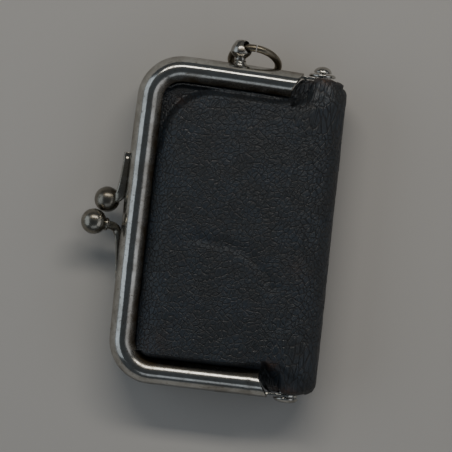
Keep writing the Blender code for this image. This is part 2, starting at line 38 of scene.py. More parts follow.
# Plan of the frame
FRAME_LEFT = -27.5
FRAME_END = 43.0
CORNER_RADIUS = 11.0
SIDE_BOW = 0.3
SIDE_BOW_FROM_X = -15.0
TOP_DROOP = 0.9
TOP_DROOP_POWER = 1.5
TOP_DROOP_FROM_Y = 15.0
TOP_DROOP_FULL_Y = 35.0
RAIL_END_X = 15.0
RAIL_END_SLANT = 0.75
RAIL_SLANT_INSET = 3.7
METAL_WALL = 0.7
FRAME_SECTION = (
    {"inset": 0.0, "height": 0.15, "tarnish": 0.95},
    {"inset": 0.0, "height": 2.0, "tarnish": 0.75},
    {"inset": 0.25, "height": 3.2, "tarnish": 0.45},
    {"inset": 0.9, "height": 4.6, "tarnish": 0.15},
    {"inset": 1.8, "height": 5.6, "tarnish": 0.05},
    {"inset": 2.7, "height": 5.95, "tarnish": 0.05},
    {"inset": 3.6, "height": 5.7, "tarnish": 0.2},
    {"inset": 4.6, "height": 5.0, "tarnish": 0.7},
    {"inset": 5.7, "height": 4.1, "tarnish": 1.0},
)
SECTION_STEPS = 28
LEG_STEPS = 56
ARC_STEPS = 32
SIDE_STEPS = 120
METAL_WOBBLE = 0.035
METAL_WOBBLE_SIZE = 7.0
FRAME_DENTS = (
    {"x": 9.6, "y": -40.6, "wide": 0.6, "long": 0.8, "strength": 0.16},
    {"x": -26.3, "y": 9.0, "wide": 1.1, "long": 2.0, "strength": 0.07},
    {"x": -3.0, "y": 41.6, "wide": 2.2, "long": 1.0, "strength": 0.05},
    {"x": -25.2, "y": -13.5, "wide": 0.5, "long": 0.9, "strength": 0.06},
)
TARNISHED_SPOTS = (
    {"x": 11.0, "y": 41.5, "wide": 3.0, "long": 1.5, "strength": 0.3},
    {"x": -14.0, "y": -38.0, "wide": 6.0, "long": 2.0, "strength": 0.3},
    {"x": -24.5, "y": -28.0, "wide": 2.0, "long": 6.0, "strength": 0.3},
)

# Hinge ears, rivets and washer
HINGE_X = 20.0
EAR_WALL = 0.58
EAR_SINK = 0.06
EAR_STEPS = 40
EAR_STEP_IN = 0.9
EAR_STEP_START = 15.1
EAR_STEP_END = 16.4
EAR_STATIONS = (
    {"x": 12.4, "low": 0.3, "high": 1.9},
    {"x": 14.0, "low": 0.3, "high": 1.9},
    {"x": 15.1, "low": 0.3, "high": 2.0},
    {"x": 16.4, "low": 0.3, "high": 2.3},
    {"x": 17.3, "low": -1.3, "high": 2.6},
    {"x": 18.3, "low": -2.45, "high": 2.8},
    {"x": 20.0, "low": -3.0, "high": 3.0},
    {"x": 21.6, "low": -2.54, "high": 2.54},
    {"x": 22.6, "low": -1.5, "high": 1.5},
    {"x": 23.0, "low": -0.5, "high": 0.5},
)
PIN_RADIUS = 0.8
PIN_HOLE_RADIUS = 1.1
PIN_HEAD_RADIUS = 1.6
PIN_HEAD_THICKNESS = 0.55
WASHER_RADIUS = 3.55
WASHER_THICKNESS = 0.85
WASHER_CHAMFER = 0.35
DOME_RADIUS = 2.4
DOME_HEIGHT = 1.75
DOME_STEPS = 14
FLAT_HEAD_PROFILE = (
    {"out": 1.4, "radius": 0.0},
    {"out": 1.3, "radius": 1.8},
    {"out": 0.92, "radius": 2.8},
    {"out": 0.5, "radius": 3.3},
    {"out": 0.0, "radius": 3.3},
)
GAP = 0.3
TURN_SIDES = 56
EDGE_ROUNDING = 0.12

# Leather, with the same sections as the solid that carries the purse's shape
SPINE_X = 27.3
SPINE_TAPER = 0.45
SPINE_TAPER_FROM_X = 10.0
SPINE_START_X = 17.0
SPINE_POWER = 2.3
SPINE_CORNER_RADIUS = 3.5
END_INSET = 1.0
TOP_REACH = 0.7
TOP_REACH_FROM_X = 16.0
TOP_REACH_FULL_X = 19.5
TOP_REACH_INSET = 7.0
LEATHER_EDGE = 4.8
RIM_HEIGHT = 3.3
FRONT_PLATEAU = 8.2
FRONT_CROWN = 0.8
CROWN_REACH_X = 27.0
CROWN_REACH_Y = 40.0
FRONT_RISE = 2.6
BACK_RISE = 5.0
SWELL_START_X = -21.7
SWELL_REACH = 9.0
SWELL_POWER = 2.7
RIDGE_FREE_Y = 9.0
RIDGE_FULL_Y = 21.0
RIDGE_SPREAD = 5.0
PLATEAU_LEFT = -20.4
PLATEAU_TOP = 35.2
PLATEAU_BOTTOM = 36.6
TOP_CORNER_RADIUS = 14.0
BOTTOM_CORNER_RADIUS = 7.0
PLATEAU_MOVES = (
    {"side_y": 1, "from_x": 7.0, "to_x": 19.0, "move": 1.8},
    {"side_y": 1, "from_x": 19.0, "to_x": 23.0, "move": 8.0},
    {"side_y": -1, "from_x": 4.0, "to_x": 12.0, "move": -0.8},
    {"side_y": -1, "from_x": 18.0, "to_x": 23.0, "move": 8.8},
)
FREE = None
ROW_MARKS = (4.6, 6.1, 7.4, 8.6, 9.8, 12.0, 14.5, 18.0, 23.0, 32.0, 43.0)
END_SECTIONS = (
    {"x": 12.2, "inset": (4.6, 6.1, 7.4, 8.6, 9.8, 12.0), "height": (3.25, 3.3, FREE, FREE, FREE, FREE)},
    {"x": 13.6, "inset": (2.2, 4.3, 6.3, 7.8, 9.1, 11.6), "height": (2.6, 3.1, 3.2, 4.3, FREE, FREE)},
    {"x": 15.4, "inset": (1.6, 3.0, 5.2, 6.8, 8.1, 11.0), "height": (1.6, 2.8, 3.2, 4.8, 7.2, FREE),
     "front_inset": (0.95, 1.2, 4.4, 6.4, 7.8, 10.6), "front_height": (1.2, 2.7, 3.3, 4.9, 7.2, FREE)},
    {"x": 17.3, "inset": (2.1, 2.7, 4.4, 6.0, 7.4, 10.0), "height": (1.2, 2.6, 3.3, 5.0, 7.2, FREE),
     "front_inset": (1.3, 1.0, 3.0, 5.2, 7.0, 10.0), "front_height": (1.75, 2.9, 3.7, 5.1, 7.2, FREE)},
    {"x": 18.4, "inset": (2.85, 2.9, 2.6, 3.8, 6.1, 9.4), "height": (0.8, 2.3, 3.7, 5.2, 6.9, FREE),
     "front_inset": (2.85, 2.8, 0.9, 2.4, 5.6, 9.2), "front_height": (0.8, 2.6, 3.9, 5.1, 6.9, FREE)},
    {"x": 20.4, "inset": (3.0, 2.9, 0.8, 1.4, 4.4, 8.4), "height": (0.0, 2.3, 4.3, 5.9, 6.6, FREE)},
    {"x": 22.4, "inset": (2.8, 2.7, 0.9, 1.9, 4.6, 8.2), "height": (0.0, 2.3, 4.4, 6.1, 7.2, FREE)},
    {"x": 24.7, "inset": (1.0, 1.15, 1.5, 2.4, 4.7, 8.0), "height": (0.0, 2.3, 4.2, 6.1, 7.5, FREE)},
)
LEATHER_STEP = 0.31
BACK_COARSER = 4

# Grain, folds and wear of the leather; the grain runs up towards the spine
GRAIN_SIZE = 1.15
GRAIN_STRETCH = 1.35
GRAIN_TURN = -60.0
GRAIN_DRIFT = 0.4
GRAIN_CREASE = 0.42
GRAIN_DEPTH = 0.07
SMALL_GRAIN_DEPTH = 0.03
NET_SCALE = 0.85
NET_DEPTH = 0.13
CREASE_LINE = ((-7.5, -5.2), (-1.1, -5.8), (5.6, -8.0), (12.7, -15.6))
CREASE_DEPTH = 0.35
HINGE_FOLDS = (
    {"x": 17.0, "y": 38.6, "wide": 4.0, "long": 3.2, "strength": 1.0},
    {"x": 15.0, "y": -38.0, "wide": 5.0, "long": 3.0, "strength": 0.9},
)
LEATHER_SWELLS = (
    {"x": -4.0, "y": 8.0, "wide": 12.0, "long": 10.0, "strength": 0.15},
    {"x": 3.0, "y": -24.0, "wide": 10.0, "long": 7.0, "strength": 0.15},
)
WORN_SPOTS = (
    {"x": 14.8, "y": -35.0, "wide": 2.0, "long": 1.3, "strength": 0.9},
    {"x": 20.8, "y": 41.3, "wide": 3.6, "long": 0.9, "strength": 1.0},
    {"x": 20.0, "y": -41.4, "wide": 3.4, "long": 0.9, "strength": 0.9},
    {"x": 18.8, "y": -9.8, "wide": 3.0, "long": 3.5, "strength": 0.22},
    {"x": -17.0, "y": -32.5, "wide": 4.5, "long": 4.0, "strength": 0.22},
    {"x": -16.3, "y": 32.0, "wide": 2.6, "long": 2.4, "strength": 0.35},
)
POLISHED_SPOTS = (
    {"x": 14.0, "y": -29.3, "wide": 4.6, "long": 3.6, "strength": 0.8},
    {"x": 22.5, "y": -36.0, "wide": 1.8, "long": 5.5, "strength": 0.8},
    {"x": 17.8, "y": -39.5, "wide": 1.4, "long": 0.8, "strength": 0.7},
    {"x": -14.0, "y": 26.0, "wide": 5.0, "long": 6.0, "strength": 0.5},
)

# Snap clasp
BALL_RADIUS = 3.4
UPPER_BALL = (-33.1, 3.7, -1.1)
LOWER_BALL = (-35.9, -2.5, 1.1)
UPPER_ARM = (
    {"x": -29.0, "y": 16.7, "z": 1.9, "wide": 0.90, "deep": 1.0},
    {"x": -29.0, "y": 15.4, "z": 1.9, "wide": 0.95, "deep": 1.1},
    {"x": -29.15, "y": 11.0, "z": 1.9, "wide": 1.05, "deep": 1.1},
    {"x": -29.35, "y": 7.4, "z": 1.8, "wide": 1.25, "deep": 1.1},
    {"x": -29.65, "y": 5.6, "z": 1.5, "wide": 1.40, "deep": 1.1},
    {"x": -30.5, "y": 4.5, "z": 0.9, "wide": 1.35, "deep": 1.1},
    {"x": -31.6, "y": 4.0, "z": 0.0, "wide": 1.25, "deep": 1.1},
    {"x": -33.1, "y": 3.7, "z": -0.9, "wide": 1.2, "deep": 1.1},
)
LOWER_ARM = (
    {"x": -28.45, "y": -17.0, "z": -1.9, "wide": 0.25, "deep": 0.9},
    {"x": -28.5, "y": -15.0, "z": -1.9, "wide": 0.35, "deep": 1.0},
    {"x": -28.75, "y": -10.5, "z": -1.9, "wide": 0.55, "deep": 1.1},
    {"x": -29.0, "y": -6.8, "z": -1.8, "wide": 0.80, "deep": 1.1},
    {"x": -29.3, "y": -5.0, "z": -1.5, "wide": 1.05, "deep": 1.1},
    {"x": -29.9, "y": -3.8, "z": -0.9, "wide": 1.15, "deep": 1.1},
    {"x": -31.0, "y": -3.15, "z": -0.1, "wide": 1.15, "deep": 1.1},
    {"x": -32.6, "y": -2.9, "z": 0.7, "wide": 1.1, "deep": 1.1},
    {"x": -35.0, "y": -2.6, "z": 1.1, "wide": 1.1, "deep": 1.1},
)
ARM_SIDES = 40
ARM_STEPS = 70
ARM_SQUARENESS = 0.6
UPPER_COLLAR = {"at": (-31.35, 4.05, 0.1), "radius": 1.7, "width": 0.9}
LOWER_COLLAR = {"at": (-32.5, -2.9, 0.75), "radius": 1.75, "width": 1.0}
COLLAR_STEPS = 12
UPPER_DIMPLE = (-28.9, 15.6)
LOWER_DIMPLE = (-28.5, -15.0)
DIMPLE_REACH = 0.4
DIMPLE_DEPTH = 0.3
BALL_LUMPS = 0.006

# Knob and ring
KNOB_X = -2.2
KNOB_Z = 1.2
KNOB_SHANK_RADIUS = 0.7
KNOB_PROFILE = (
    {"out": 6.85, "radius": 0.0},
    {"out": 6.75, "radius": 0.9},
    {"out": 6.45, "radius": 1.6},
    {"out": 5.7, "radius": 2.1},
    {"out": 4.7, "radius": 2.6},
    {"out": 3.6, "radius": 2.8},
    {"out": 2.6, "radius": 2.2},
    {"out": 1.85, "radius": 1.45},
    {"out": 1.5, "radius": 1.45},
    {"out": 1.25, "radius": 1.65},
    {"out": 0.95, "radius": 1.5},
    {"out": 0.3, "radius": 2.1},
    {"out": 0.0, "radius": 2.2},
)
KNOB_FOOT_OUT = 0.3
KNOB_INNER_HEAD_RADIUS = 1.3
KNOB_INNER_HEAD_THICKNESS = 0.5
RING_CENTRE = (1.66, 44.52, 6.44)
RING_RADIUS = 6.39
WIRE_RADIUS = 0.97
RING_TILT = math.radians(58.1)
RING_TURN = math.radians(-5.4)
RING_EYE_ANGLE = math.radians(130.0)
RING_SLIT_ANGLE = math.radians(92.0)
RING_SLIT = 0.3
RING_STEPS = 120
RING_WOBBLE = 0.006
KNOB_STEPS = 60
EYE_REACH = 4.2
EYE_STEPS = 20
EYE_GAP = 0.4

# Picture: the photograph is this wide on the object and turned this far
PICTURE_WIDTH = 119.8
PICTURE_TURN = math.radians(6.6)
PICTURE_CENTRE = (-0.9, 0.25, 12.0)
LENS = 300.0
SENSOR = 36.0

# Surroundings, in metres and watts
FLOOR_REACH = 1.5
FLOOR_COLOUR = (0.56, 0.54, 0.51)
WORLD_COLOUR = (0.80, 0.90, 1.0)
WORLD_STRENGTH = 0.07
LIGHTS = (
    {"name": "strip", "way": (0.0, 0.67, 0.74), "distance": 0.7, "size": (0.7, 0.10),
     "power": 1.9, "colour": (1.0, 0.95, 0.87)},
    {"name": "left", "way": (-0.90, 0.0, 0.43), "distance": 0.7, "size": (0.9, 0.55),
     "power": 1.1, "colour": (0.80, 0.90, 1.0)},
    {"name": "right", "way": (0.80, -0.1, 0.6), "distance": 0.7, "size": (0.9, 0.4),
     "power": 0.6, "colour": (0.95, 0.96, 1.0)},
    {"name": "low", "way": (0.1, -0.8, 0.6), "distance": 0.8, "size": (0.6, 0.3),
     "power": 0.25, "colour": (0.85, 0.92, 1.0)},
)

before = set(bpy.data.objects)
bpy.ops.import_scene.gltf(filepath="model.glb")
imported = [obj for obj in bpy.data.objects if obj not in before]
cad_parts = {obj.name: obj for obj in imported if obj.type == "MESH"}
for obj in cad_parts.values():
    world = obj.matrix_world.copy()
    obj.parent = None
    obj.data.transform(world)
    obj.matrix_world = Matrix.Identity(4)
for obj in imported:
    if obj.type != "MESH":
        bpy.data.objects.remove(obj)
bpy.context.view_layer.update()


# Small mathematical helpers

def smooth(value):
    """Ease from 0 to 1 without a corner at either end."""
    t = np.clip(value, 0.0, 1.0)
    return t * t * (3.0 - 2.0 * t)


def rounded(value, power):
    """Height of a superellipse, 1 at value 0 and 0 at value 1."""
    t = np.clip(value, 0.0, 1.0)
    return (1.0 - t ** power) ** (1.0 / power)


def curve_through(knots, values, at):
    """A smooth curve through values at rising knots, which never overshoots them."""
    knots = np.asarray(knots, float)
    values = np.asarray(values, float)
    at = np.clip(at, knots[0], knots[-1])
    steps = np.diff(knots)
    slopes = np.diff(values) / steps
    tangents = np.zeros(len(knots))
    tangents[0] = slopes[0]
    tangents[-1] = slopes[-1]
    for k in range(1, len(knots) - 1):
        if slopes[k - 1] * slopes[k] > 0.0:
            tangents[k] = 2.0 * slopes[k - 1] * slopes[k] / (slopes[k - 1] + slopes[k])
    k = np.clip(np.searchsorted(knots, at, side="right") - 1, 0, len(steps) - 1)
    t = (at - knots[k]) / steps[k]
    rise = values[k + 1] - values[k]
    bend = t * t * (3.0 - 2.0 * t)
    inner = t * (1.0 - t)
    smooth_part = values[k] + rise * bend
    tangent_part = steps[k] * inner * (tangents[k] * (1.0 - t) - tangents[k + 1] * t)
    return smooth_part + tangent_part


def even_steps(positions, lengths, step):
    """Positions that lie a step apart along a curve of the given running lengths."""
    count = max(2, int(round(lengths[-1] / step)))
    return np.interp(np.linspace(0.0, lengths[-1], count + 1), lengths, positions)


def scatter(column, row, seed):
    """A repeatable number from 0 to 1 for each cell of a grid."""
    mixed = (column * 374761393 + row * 668265263 + seed * 974711) & 0xFFFFFFFF
    mixed = ((mixed ^ (mixed >> 13)) * 1274126177) & 0xFFFFFFFF
    return ((mixed ^ (mixed >> 16)) & 0xFFFF) / 65535.0


def soft_noise(u, v, size, seed):
    """Smooth noise from -1 to 1 with lumps of the given size."""
    column = np.floor(u / size).astype(np.int64)
    row = np.floor(v / size).astype(np.int64)
    s = smooth(u / size - column)
    t = smooth(v / size - row)
    low = scatter(column, row, seed) * (1.0 - s) + scatter(column + 1, row, seed) * s
    high = scatter(column, row + 1, seed) * (1.0 - s) + scatter(column + 1, row + 1, seed) * s
    return 2.0 * (low * (1.0 - t) + high * t) - 1.0


def cell_distances(u, v, size, seed):
    """Distances to the nearest and second nearest of a field of scattered points."""
    column = np.floor(u / size).astype(np.int64)
    row = np.floor(v / size).astype(np.int64)
    nearest = np.full(u.shape, 9.0)
    second = np.full(u.shape, 9.0)
    for across in (-1, 0, 1):
        for along in (-1, 0, 1):
            c = column + across
            r = row + along
            du = c + 0.15 + 0.7 * scatter(c, r, seed) - u / size
            dv = r + 0.15 + 0.7 * scatter(c, r, seed + 7) - v / size
            distance = np.sqrt(du * du + dv * dv)
            second = np.minimum(second, np.maximum(nearest, distance))
            nearest = np.minimum(nearest, distance)
    return nearest, second


def warp(x, y):
    """Bow the clasp side outward and let the top rail run down to its hinge."""
    side_share = np.clip((SIDE_BOW_FROM_X - x) / (SIDE_BOW_FROM_X - FRAME_LEFT), 0.0, 1.0)
    bow = SIDE_BOW * np.maximum(0.0, 1.0 - (y / (FRAME_END - CORNER_RADIUS)) ** 2)
    corner_x = FRAME_LEFT + CORNER_RADIUS
    along = np.clip((x - corner_x) / (RAIL_END_X - corner_x), 0.0, 1.0)
    upper = smooth((y - TOP_DROOP_FROM_Y) / (TOP_DROOP_FULL_Y - TOP_DROOP_FROM_Y))
    return x - bow * side_share, y - TOP_DROOP * along ** TOP_DROOP_POWER * upper


def place(x, y, height):
    """A point given in millimetres, with its height above the closing plane."""
    return Vector((float(x), float(y), MID_Z + float(height))) * MM


# Making and joining meshes

def finish_piece(name, item, body, material, nodes):
    """Name a piece, give it its finish and its body, and hide the solids it stands for."""
    item.name = name
    item.data.name = name
    item.data.materials.clear()
    item.data.materials.append(material)
    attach(item, body)
    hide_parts(*nodes)


def add_object(name, mesh, hidden=False):
    item = bpy.data.objects.new(name, mesh)
    bpy.context.scene.collection.objects.link(item)
    item.hide_render = hidden
    mesh.shade_smooth()
    return item


def mesh_from(name, builder):
    """Run a bmesh builder and return its mesh with faces pointing out."""
    build = bmesh.new()
    builder(build)
    bmesh.ops.recalc_face_normals(build, faces=build.faces)
    mesh = bpy.data.meshes.new(name)
    build.to_mesh(mesh)
    build.free()
    return mesh


def loft(build, rings):
    """Join rings of equal length by quads, with a face on each end."""
    loops = [[build.verts.new(point) for point in ring] for ring in rings]
    for first, second in zip(loops, loops[1:]):
        count = len(first)
        for k in range(count):
            follow = (k + 1) % count
            build.faces.new((first[k], first[follow], second[follow], second[k]))
    build.faces.new(loops[0])
    build.faces.new(loops[-1])


def turned(name, profile, sides=TURN_SIDES):
    """Turn a profile of (radius, height) about Z, from its top down its outer side."""
    mesh = bpy.data.meshes.new(name)
    points = [(radius * MM, 0.0, height * MM) for radius, height in profile]
    mesh.from_pydata(points, [(k, k + 1) for k in range(len(points) - 1)], [])
    item = bpy.data.objects.new(name, mesh)
    bpy.context.scene.collection.objects.link(item)
    screw = item.modifiers.new("Turn", "SCREW")
    screw.steps = sides
    screw.render_steps = sides
    screw.use_merge_vertices = True
    screw.merge_threshold = 0.00001
    screw.use_smooth_shade = True
    return item


def round_edges(item, width=EDGE_ROUNDING, angle=32.0):
    bevel = item.modifiers.new("Edges", "BEVEL")
    bevel.width = width * MM
    bevel.segments = 3
    bevel.limit_method = "ANGLE"
    bevel.angle_limit = math.radians(angle)


def combine(target, other, operation):
    """Join or cut with another object, which is removed once the result is kept."""
    modifier = target.modifiers.new(operation.title(), "BOOLEAN")
    modifier.operation = operation
    modifier.solver = "EXACT"
    modifier.object = other


def settle(item, helpers=()):
    """Keep an object's evaluated shape as a plain mesh in the row's frame."""
    bpy.context.view_layer.update()
    evaluated = item.evaluated_get(bpy.context.evaluated_depsgraph_get())
    mesh = bpy.data.meshes.new_from_object(evaluated)
    mesh.transform(item.matrix_world)
    for old in (item, *helpers):
        bpy.data.objects.remove(old)
    return add_object("settled", mesh)


def stand_along(item, position, direction):
    """Put an object's Z axis along a direction, with its origin at a point."""
    item.rotation_mode = "QUATERNION"
    item.rotation_quaternion = Vector((0.0, 0.0, 1.0)).rotation_difference(Vector(direction))
    item.location = position


def keep_values(mesh, name, values):
    """Store a number for each vertex, for the materials to read."""
    attribute = mesh.attributes.new(name, "FLOAT", "POINT")
    attribute.data.foreach_set("value", np.asarray(values, np.float32))


def vertex_array(mesh):
    points = np.zeros(len(mesh.vertices) * 3)
    mesh.vertices.foreach_get("co", points)
    return points.reshape(-1, 3)


# Node materials

def add_node(tree, kind, inputs=None, **settings):
    """Add a shader node; inputs are values, or output sockets to link from."""
    node = tree.nodes.new(kind)
    for name, value in settings.items():
        setattr(node, name, value)
    for name, value in (inputs or {}).items():
        socket = node.inputs[name]
        if isinstance(value, bpy.types.NodeSocket):
            tree.links.new(value, socket)
        else:
            socket.default_value = value
    return node


def new_material(name):
    material = bpy.data.materials.new(name)
    material.use_nodes = True
    tree = material.node_tree
    shader = tree.nodes["Principled BSDF"]
    where = add_node(tree, "ShaderNodeTexCoord").outputs["Object"]
    return material, tree, shader, where


def noise(tree, where, scale, detail=3.0, roughness=0.55):
    inputs = {"Vector": where, "Scale": scale, "Detail": detail, "Roughness": roughness}
    return add_node(tree, "ShaderNodeTexNoise", inputs).outputs["Fac"]


def ramp(tree, value, low, high):
    """Share of the way from low to high, kept between 0 and 1."""
    inputs = {"Value": value, "From Min": low, "From Max": high}
    return add_node(tree, "ShaderNodeMapRange", inputs).outputs["Result"]


def arithmetic(tree, operation, first, second):
    node = add_node(tree, "ShaderNodeMath", {0: first, 1: second}, operation=operation)
    return node.outputs[0]


def blend_colours(tree, share, first, second):
    node = add_node(tree, "ShaderNodeMix", data_type="RGBA")
    for socket, value in ((node.inputs[0], share), (node.inputs[6], first), (node.inputs[7], second)):
        if isinstance(value, bpy.types.NodeSocket):
            tree.links.new(value, socket)
        elif isinstance(value, tuple):
            socket.default_value = (*value, 1.0)
        else:
            socket.default_value = value
    return node.outputs[2]


def read_values(tree, name):
    return add_node(tree, "ShaderNodeAttribute", attribute_name=name).outputs["Fac"]


def cell_edges(tree, where, scale):
    """Distance from the net of edges between irregular cells."""
    node = add_node(tree, "ShaderNodeTexVoronoi", voronoi_dimensions="2D", feature="DISTANCE_TO_EDGE")
    tree.links.new(where, node.inputs["Vector"])
    node.inputs["Scale"].default_value = scale
    return node.outputs["Distance"]


def bump(tree, height, strength, distance, before=None):
    inputs = {"Height": height, "Strength": strength, "Distance": distance}
    if before is not None:
        inputs["Normal"] = before
    return add_node(tree, "ShaderNodeBump", inputs).outputs["Normal"]


def leather_material():
    """Black goatskin: dark pebbles in a net of creases given painted shade, polished ridges and brown worn
    spots.
    """
    material, tree, shader, where = new_material("black_leather")
    pebble = read_values(tree, "pebble")
    wear = read_values(tree, "wear")
    polish = read_values(tree, "polish")
    grain = add_node(tree, "ShaderNodeAttribute", attribute_name="grain").outputs["Vector"]
    cloud = noise(tree, where, 160.0, 4.0)
    speck = noise(tree, where, 1400.0, 3.0)
    net = ramp(tree, cell_edges(tree, grain, NET_SCALE), 0.0, 0.16)
    fine_net = ramp(tree, cell_edges(tree, grain, 2.3 * NET_SCALE), 0.0, 0.2)

    # The crease colour is painted shade: the net of creases between the pebbles is coloured darker than the
    # pebble tops.
    crease_shade = (0.010, 0.009, 0.009)
    black = (0.019, 0.023, 0.027)
    # The black tone varies at random under a cloud noise; its blue-black patches are a painted bluish
    # sheen.
    blue_sheen_black = (0.022, 0.031, 0.042)
    brown = (0.085, 0.042, 0.024)
    tone = blend_colours(tree, ramp(tree, cloud, 0.42, 0.62), black, blue_sheen_black)
    tone = blend_colours(tree, net, crease_shade, tone)
    worn = arithmetic(tree, "MULTIPLY", wear, ramp(tree, speck, 0.3, 0.6))
    tone = blend_colours(tree, worn, tone, brown)
    tree.links.new(tone, shader.inputs["Base Color"])

    dull = add_node(tree, "ShaderNodeMapRange", {"Value": polish, "To Min": 0.36, "To Max": 0.24})
    rough = arithmetic(tree, "ADD", dull.outputs["Result"], arithmetic(tree, "MULTIPLY", speck, 0.16))
    tree.links.new(rough, shader.inputs["Roughness"])
    shader.inputs["Specular IOR Level"].default_value = 0.6

    normal = bump(tree, net, 0.9, NET_DEPTH * MM)
    normal = bump(tree, fine_net, 0.8, 0.35 * NET_DEPTH * MM, normal)
    normal = bump(tree, speck, 0.4, 0.00005, normal)
    tree.links.new(normal, shader.inputs["Normal"])
    return material


def metal_material(name, clean, stain, base_roughness):
    """Old plated metal: a clean tone under brown tarnish, with pits and scratches."""
    material, tree, shader, where = new_material(name)
    tarnish = read_values(tree, "tarnish")
    cloud = noise(tree, where, 220.0, 5.0, 0.6)
    speck = noise(tree, where, 1500.0, 4.0, 0.6)
    patchy = arithmetic(tree, "MULTIPLY", ramp(tree, cloud, 0.35, 0.65), 0.55)
    share = arithmetic(tree, "ADD", tarnish, patchy)
    share = ramp(tree, share, 0.15, 1.35)
    tone = blend_colours(tree, share, clean, stain)
    tone = blend_colours(tree, ramp(tree, speck, 0.58, 0.75), tone, stain)
    tree.links.new(tone, shader.inputs["Base Color"])
    shader.inputs["Metallic"].default_value = 1.0

    rough = arithmetic(tree, "ADD", arithmetic(tree, "MULTIPLY", share, 0.16), base_roughness)
    rough = arithmetic(tree, "ADD", arithmetic(tree, "MULTIPLY", speck, 0.12), rough)
    tree.links.new(rough, shader.inputs["Roughness"])

    stretched = add_node(tree, "ShaderNodeMapping", {"Vector": where, "Scale": (900.0, 160.0, 900.0)})
    scratches = noise(tree, stretched.outputs["Vector"], 3.0, 3.0)
    normal = bump(tree, scratches, 0.22, 0.00003)
    normal = bump(tree, speck, 0.25, 0.00004, normal)
    tree.links.new(normal, shader.inputs["Normal"])
    return material


# Leather

def wrap_corner(across, along, radius):
    """Bend the square corner of a grid into a round one, keeping its spacing."""
    u = radius - across
    w = radius - along
    reach = np.maximum(np.maximum(u, w), 1e-9)
    angle = math.pi / 4.0 * np.minimum(u, w) / reach
    long_part = reach * np.cos(angle)
    short_part = reach * np.sin(angle)
    inside = (u > 0.0) & (w > 0.0)
    wide = u >= w
    new_across = radius - np.where(wide, long_part, short_part)
    new_along = radius - np.where(wide, short_part, long_part)
    return np.where(inside, new_across, across), np.where(inside, new_along, along)


def panel_height(x, y, side):
    """Height of the leather over the closing plane: rim, rise and crowned panel."""
    upper = y >= 0.0
    edge = np.where(upper, PLATEAU_TOP, PLATEAU_BOTTOM)
    for row in PLATEAU_MOVES:
        move = row["move"] * smooth((x - row["from_x"]) / (row["to_x"] - row["from_x"]))
        edge = edge + np.where(upper == (row["side_y"] > 0), move, 0.0)
    radius = np.where(upper, TOP_CORNER_RADIUS, BOTTOM_CORNER_RADIUS)
    left = np.full(x.shape, PLATEAU_LEFT)
    if side > 0:
        left = left - RIDGE_SPREAD * (1.0 - smooth((y - RIDGE_FREE_Y) / (RIDGE_FULL_Y - RIDGE_FREE_Y)))
    out_x = left - x + radius
    out_y = np.abs(y) - edge + radius
    outside = np.hypot(np.maximum(out_x, 0.0), np.maximum(out_y, 0.0))
    outside = outside + np.minimum(np.maximum(out_x, out_y), 0.0) - radius
    if side > 0:
        rise = FRONT_RISE
        crown_x = np.maximum(0.0, 1.0 - (x / CROWN_REACH_X) ** 2)
        crown_y = np.maximum(0.0, 1.0 - (y / CROWN_REACH_Y) ** 2)
        top = FRONT_PLATEAU + FRONT_CROWN * crown_x * crown_y
    else:
        rise = BACK_RISE
        top = MID_Z
        outside = outside + 0.5 * (BACK_RISE - FRONT_RISE)
    share = smooth(0.5 - outside / rise)
    if side > 0:
        inward = np.clip((x - SWELL_START_X) / SWELL_REACH, 0.0, 1.0)
        share = share * (1.0 - (1.0 - inward) ** SWELL_POWER)
    return RIM_HEIGHT + (top - RIM_HEIGHT) * share


def shaped_rows(xs, marks, side_z):
    """Inset, height and hold of the end rows at each place along X and each row mark."""
    stations = [row["x"] for row in END_SECTIONS]
    insets = [row["inset"] for row in END_SECTIONS]
    levels = [row["height"] for row in END_SECTIONS]
    if side_z > 0:
        insets = [row.get("front_inset", row["inset"]) for row in END_SECTIONS]
        levels = [row.get("front_height", row["height"]) for row in END_SECTIONS]
    shaped = len(END_SECTIONS[0]["inset"])
    inset = np.tile(np.array(ROW_MARKS, float), (len(xs), 1))
    height = np.full(inset.shape, FRONT_PLATEAU)
    hold = np.zeros(inset.shape)
    for row in range(shaped):
        heights = [level[row] for level in levels]
        holds = [0.0 if value is FREE else 1.0 for value in heights]
        heights = [FRONT_PLATEAU if value is FREE else value for value in heights]
        inset[:, row] = curve_through(stations, [values[row] for values in insets], xs)
        height[:, row] = curve_through(stations, heights, xs)
        hold[:, row] = curve_through(stations, holds, xs)
    tables = []
    for table in (inset, height, hold):
        tables.append(np.array([curve_through(ROW_MARKS, values, marks) for values in table]))
    return tables


def leather_sheet(columns, marks, side_y, side_z):
    """Grid of points on one half of the outer surface: columns by row marks."""
    xs = FRAME_LEFT + columns
    inset, height, hold = shaped_rows(xs, marks, side_z)
    across = np.repeat(columns[:, None], len(marks), 1)
    x = FRAME_LEFT + across
    if side_y > 0:
        near_end = 1.0 - smooth(inset / TOP_REACH_INSET)
        by_hinge = smooth((x - TOP_REACH_FROM_X) / (TOP_REACH_FULL_X - TOP_REACH_FROM_X))
        inset = inset - TOP_REACH * near_end * by_hinge
    across, along = wrap_corner(across, inset, CORNER_RADIUS)
    turned_in, turned_along = wrap_corner(SPINE_X - x, inset - END_INSET, SPINE_CORNER_RADIUS)
    at_spine = x > SPINE_X - SPINE_CORNER_RADIUS
    plan_x = np.where(at_spine, SPINE_X - turned_in, FRAME_LEFT + across)
    along = np.where(at_spine, turned_along + END_INSET, along)
    plan_y = side_y * (FRAME_END - along)
    level = panel_height(plan_x, plan_y, side_z)
    level = level + (height - level) * hold
    level = level * rounded((x - SPINE_START_X) / (SPINE_X - SPINE_START_X), SPINE_POWER)
    taper = smooth((x - SPINE_TAPER_FROM_X) / (SPINE_X - SPINE_TAPER_FROM_X))
    plan_x, plan_y = warp(plan_x - SPINE_TAPER * taper * plan_y / FRAME_END, plan_y)
    return np.stack((plan_x, plan_y, MID_Z + side_z * level), -1)


